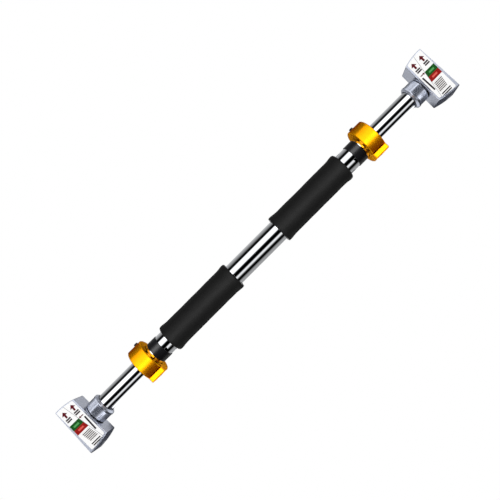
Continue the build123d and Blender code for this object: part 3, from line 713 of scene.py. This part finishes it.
def foam_grip(name, start, end):
    """A foam tube between two places along the bar."""
    stations = grip_stations(start, end)
    x, radius = stations[0]
    bpy.ops.object.select_all(action="DESELECT")
    bpy.ops.mesh.primitive_circle_add(vertices=GRIP_SIDES, radius=radius, location=(x, 0, 0),
                                      rotation=(0, math.pi / 2, 0))
    piece = bpy.context.object
    piece.name = piece.data.name = name
    bpy.ops.object.transform_apply(location=True, rotation=True, scale=True)
    bpy.ops.object.mode_set(mode="EDIT")
    bpy.ops.mesh.select_all(action="SELECT")
    for next_x, next_radius in stations[1:] + stations[:1]:
        bpy.ops.mesh.extrude_edges_move(TRANSFORM_OT_translate={"value": (next_x - x, 0, 0)})
        grow = next_radius / radius
        bpy.ops.transform.resize(value=(1, grow, grow), center_override=(next_x, 0, 0))
        x, radius = next_x, next_radius
    bpy.ops.mesh.select_all(action="SELECT")
    bpy.ops.mesh.remove_doubles(threshold=WELD)
    bpy.ops.mesh.normals_make_consistent(inside=False)
    bpy.ops.object.mode_set(mode="OBJECT")
    return piece


print("a grip has", GRIP_SIDES, "sides")

# %% Two grips on the tube
UNEVEN_SIZE = 16 * MM
UNEVEN_DEPTH = 0.5 * MM
UNEVEN_LEVEL = 0.62         # brightness of the pattern that leaves the surface where it is
OUTSIDE_RADIUS = 20 * MM    # what lies further out than this is displaced

uneven = bpy.data.textures.new("foam_unevenness", "CLOUDS")
uneven.noise_scale = UNEVEN_SIZE
for side in SIDES:
    low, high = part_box(f"{side}_grip")
    grip = foam_grip(f"{side}_foam_grip", low.x, high.x)
    outer = [v.index for v in grip.data.vertices if math.hypot(v.co.y, v.co.z) > OUTSIDE_RADIUS]
    grip.vertex_groups.new(name="outside").add(outer, 1.0, "REPLACE")
    smooth = grip.modifiers.new("rounded", "SUBSURF")
    smooth.levels = smooth.render_levels = 1
    bumpy = grip.modifiers.new("uneven", "DISPLACE")
    bumpy.texture, bumpy.texture_coords = uneven, "LOCAL"
    bumpy.strength, bumpy.mid_level, bumpy.vertex_group = UNEVEN_DEPTH, UNEVEN_LEVEL, "outside"
    for name in ("rounded", "uneven"):
        bpy.ops.object.modifier_apply(modifier=name)
    bpy.ops.object.shade_smooth()
    grip.data.materials.append(foam)
    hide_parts(f"{side}_grip")
    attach(grip, "bar")
    widest = max(math.hypot(v.co.y, v.co.z) for v in grip.data.vertices)
    print(grip.name, len(grip.data.polygons), "faces, widest radius", round(widest / MM, 2), "mm")

# %% [markdown]
# ## Lamps
# A wide lamp beside the camera lights everything matte. It and two weak ones from above and behind are
# hidden from glossy surfaces, which would show them as more stripes, and they leave the floor alone,
# because they stand so low that they would burn a bright patch into it. The other lamps are each aimed
# at one kind of piece, as a photographer shapes narrow lights: panels for the gold and for the silver
# blocks, and strips that draw a soft sheen along the bands and the foam. The gold and the foam have one
# behind them too, for the views from the back. Last, a soft light from above falls on the floor alone
# and keeps it pale.

# %% What each lamp is aimed at
LAMPS = [
    # name, degrees around the bar, distance, size along, size across, watts, pieces it is aimed at
    ("front_lamp", 2, 1.7, 2.2, 0.9, 35.0, ()),
    ("top_lamp", 98, 1.5, 1.6, 0.8, 3.0, ()),
    ("back_lamp", 165, 1.7, 2.0, 0.8, 6.0, ()),
    ("collar_lamp", -7, 1.2, 2.4, 0.60, 16.0, ("clamp_collar",)),
    ("collar_top_lamp", 62, 1.2, 2.4, 0.55, 6.0, ("clamp_collar",)),
    ("block_top_lamp", 78, 1.2, 2.6, 0.9, 9.0, ("housing", "hub_cap")),
    ("block_low_lamp", -65, 1.0, 2.4, 0.38, 11.5, ("housing",)),
    ("collar_back_lamp", 184, 1.2, 2.4, 0.40, 6.0, ("clamp_collar",)),
    ("band_lamp", 24, 1.2, 2.4, 0.75, 48.0, ("tube_band",)),
    ("grip_lamp", -10, 1.5, 2.4, 0.5, 46.0, ("foam_grip",)),
    ("grip_back_lamp", 182, 1.5, 2.4, 0.5, 30.0, ("foam_grip",)),
]
print("lamps:", [lamp[0] for lamp in LAMPS])

# %% Place and aim the lamps
all_but_floor = bpy.data.collections.new("all_but_floor")
all_but_floor.objects.link(floor)
all_but_floor.collection_objects[0].light_linking.link_state = "EXCLUDE"
for name, around, away, long, wide, watts, aimed_at in LAMPS:
    height = math.radians(around)
    spot = Vector((0, -math.cos(height), math.sin(height))) * away
    bpy.ops.object.light_add(type="AREA", location=spot)
    lamp = bpy.context.object
    lamp.name = name
    lamp.rotation_euler = (-spot).to_track_quat("-Z", "Y").to_euler()
    lamp.data.shape = "RECTANGLE"
    lamp.data.size, lamp.data.size_y = long, wide
    lamp.data.energy = watts
    lamp.visible_camera = False
    lamp.visible_glossy = bool(aimed_at)
    lit_pieces = bpy.data.collections.new(name + "_aim") if aimed_at else all_but_floor
    for kind in aimed_at:
        for side in SIDES:
            lit_pieces.objects.link(bpy.data.objects[f"{side}_{kind}"])
    lamp.light_linking.receiver_collection = lit_pieces
print("lamps placed:", len(bpy.data.lights))

# %% A soft overhead light for the floor alone
FLOOR_LIGHT = 3.3           # watts on each square metre
FLOOR_SOFTNESS = math.radians(70)

bpy.ops.object.light_add(type="SUN", location=(0, 0, 2))
overhead = bpy.context.object
overhead.name = "floor_lamp"
overhead.data.energy = FLOOR_LIGHT
overhead.data.angle = FLOOR_SOFTNESS
floor_alone = bpy.data.collections.new("floor_lamp_aim")
floor_alone.objects.link(floor)
overhead.light_linking.receiver_collection = floor_alone
print("overhead light on", floor.name)
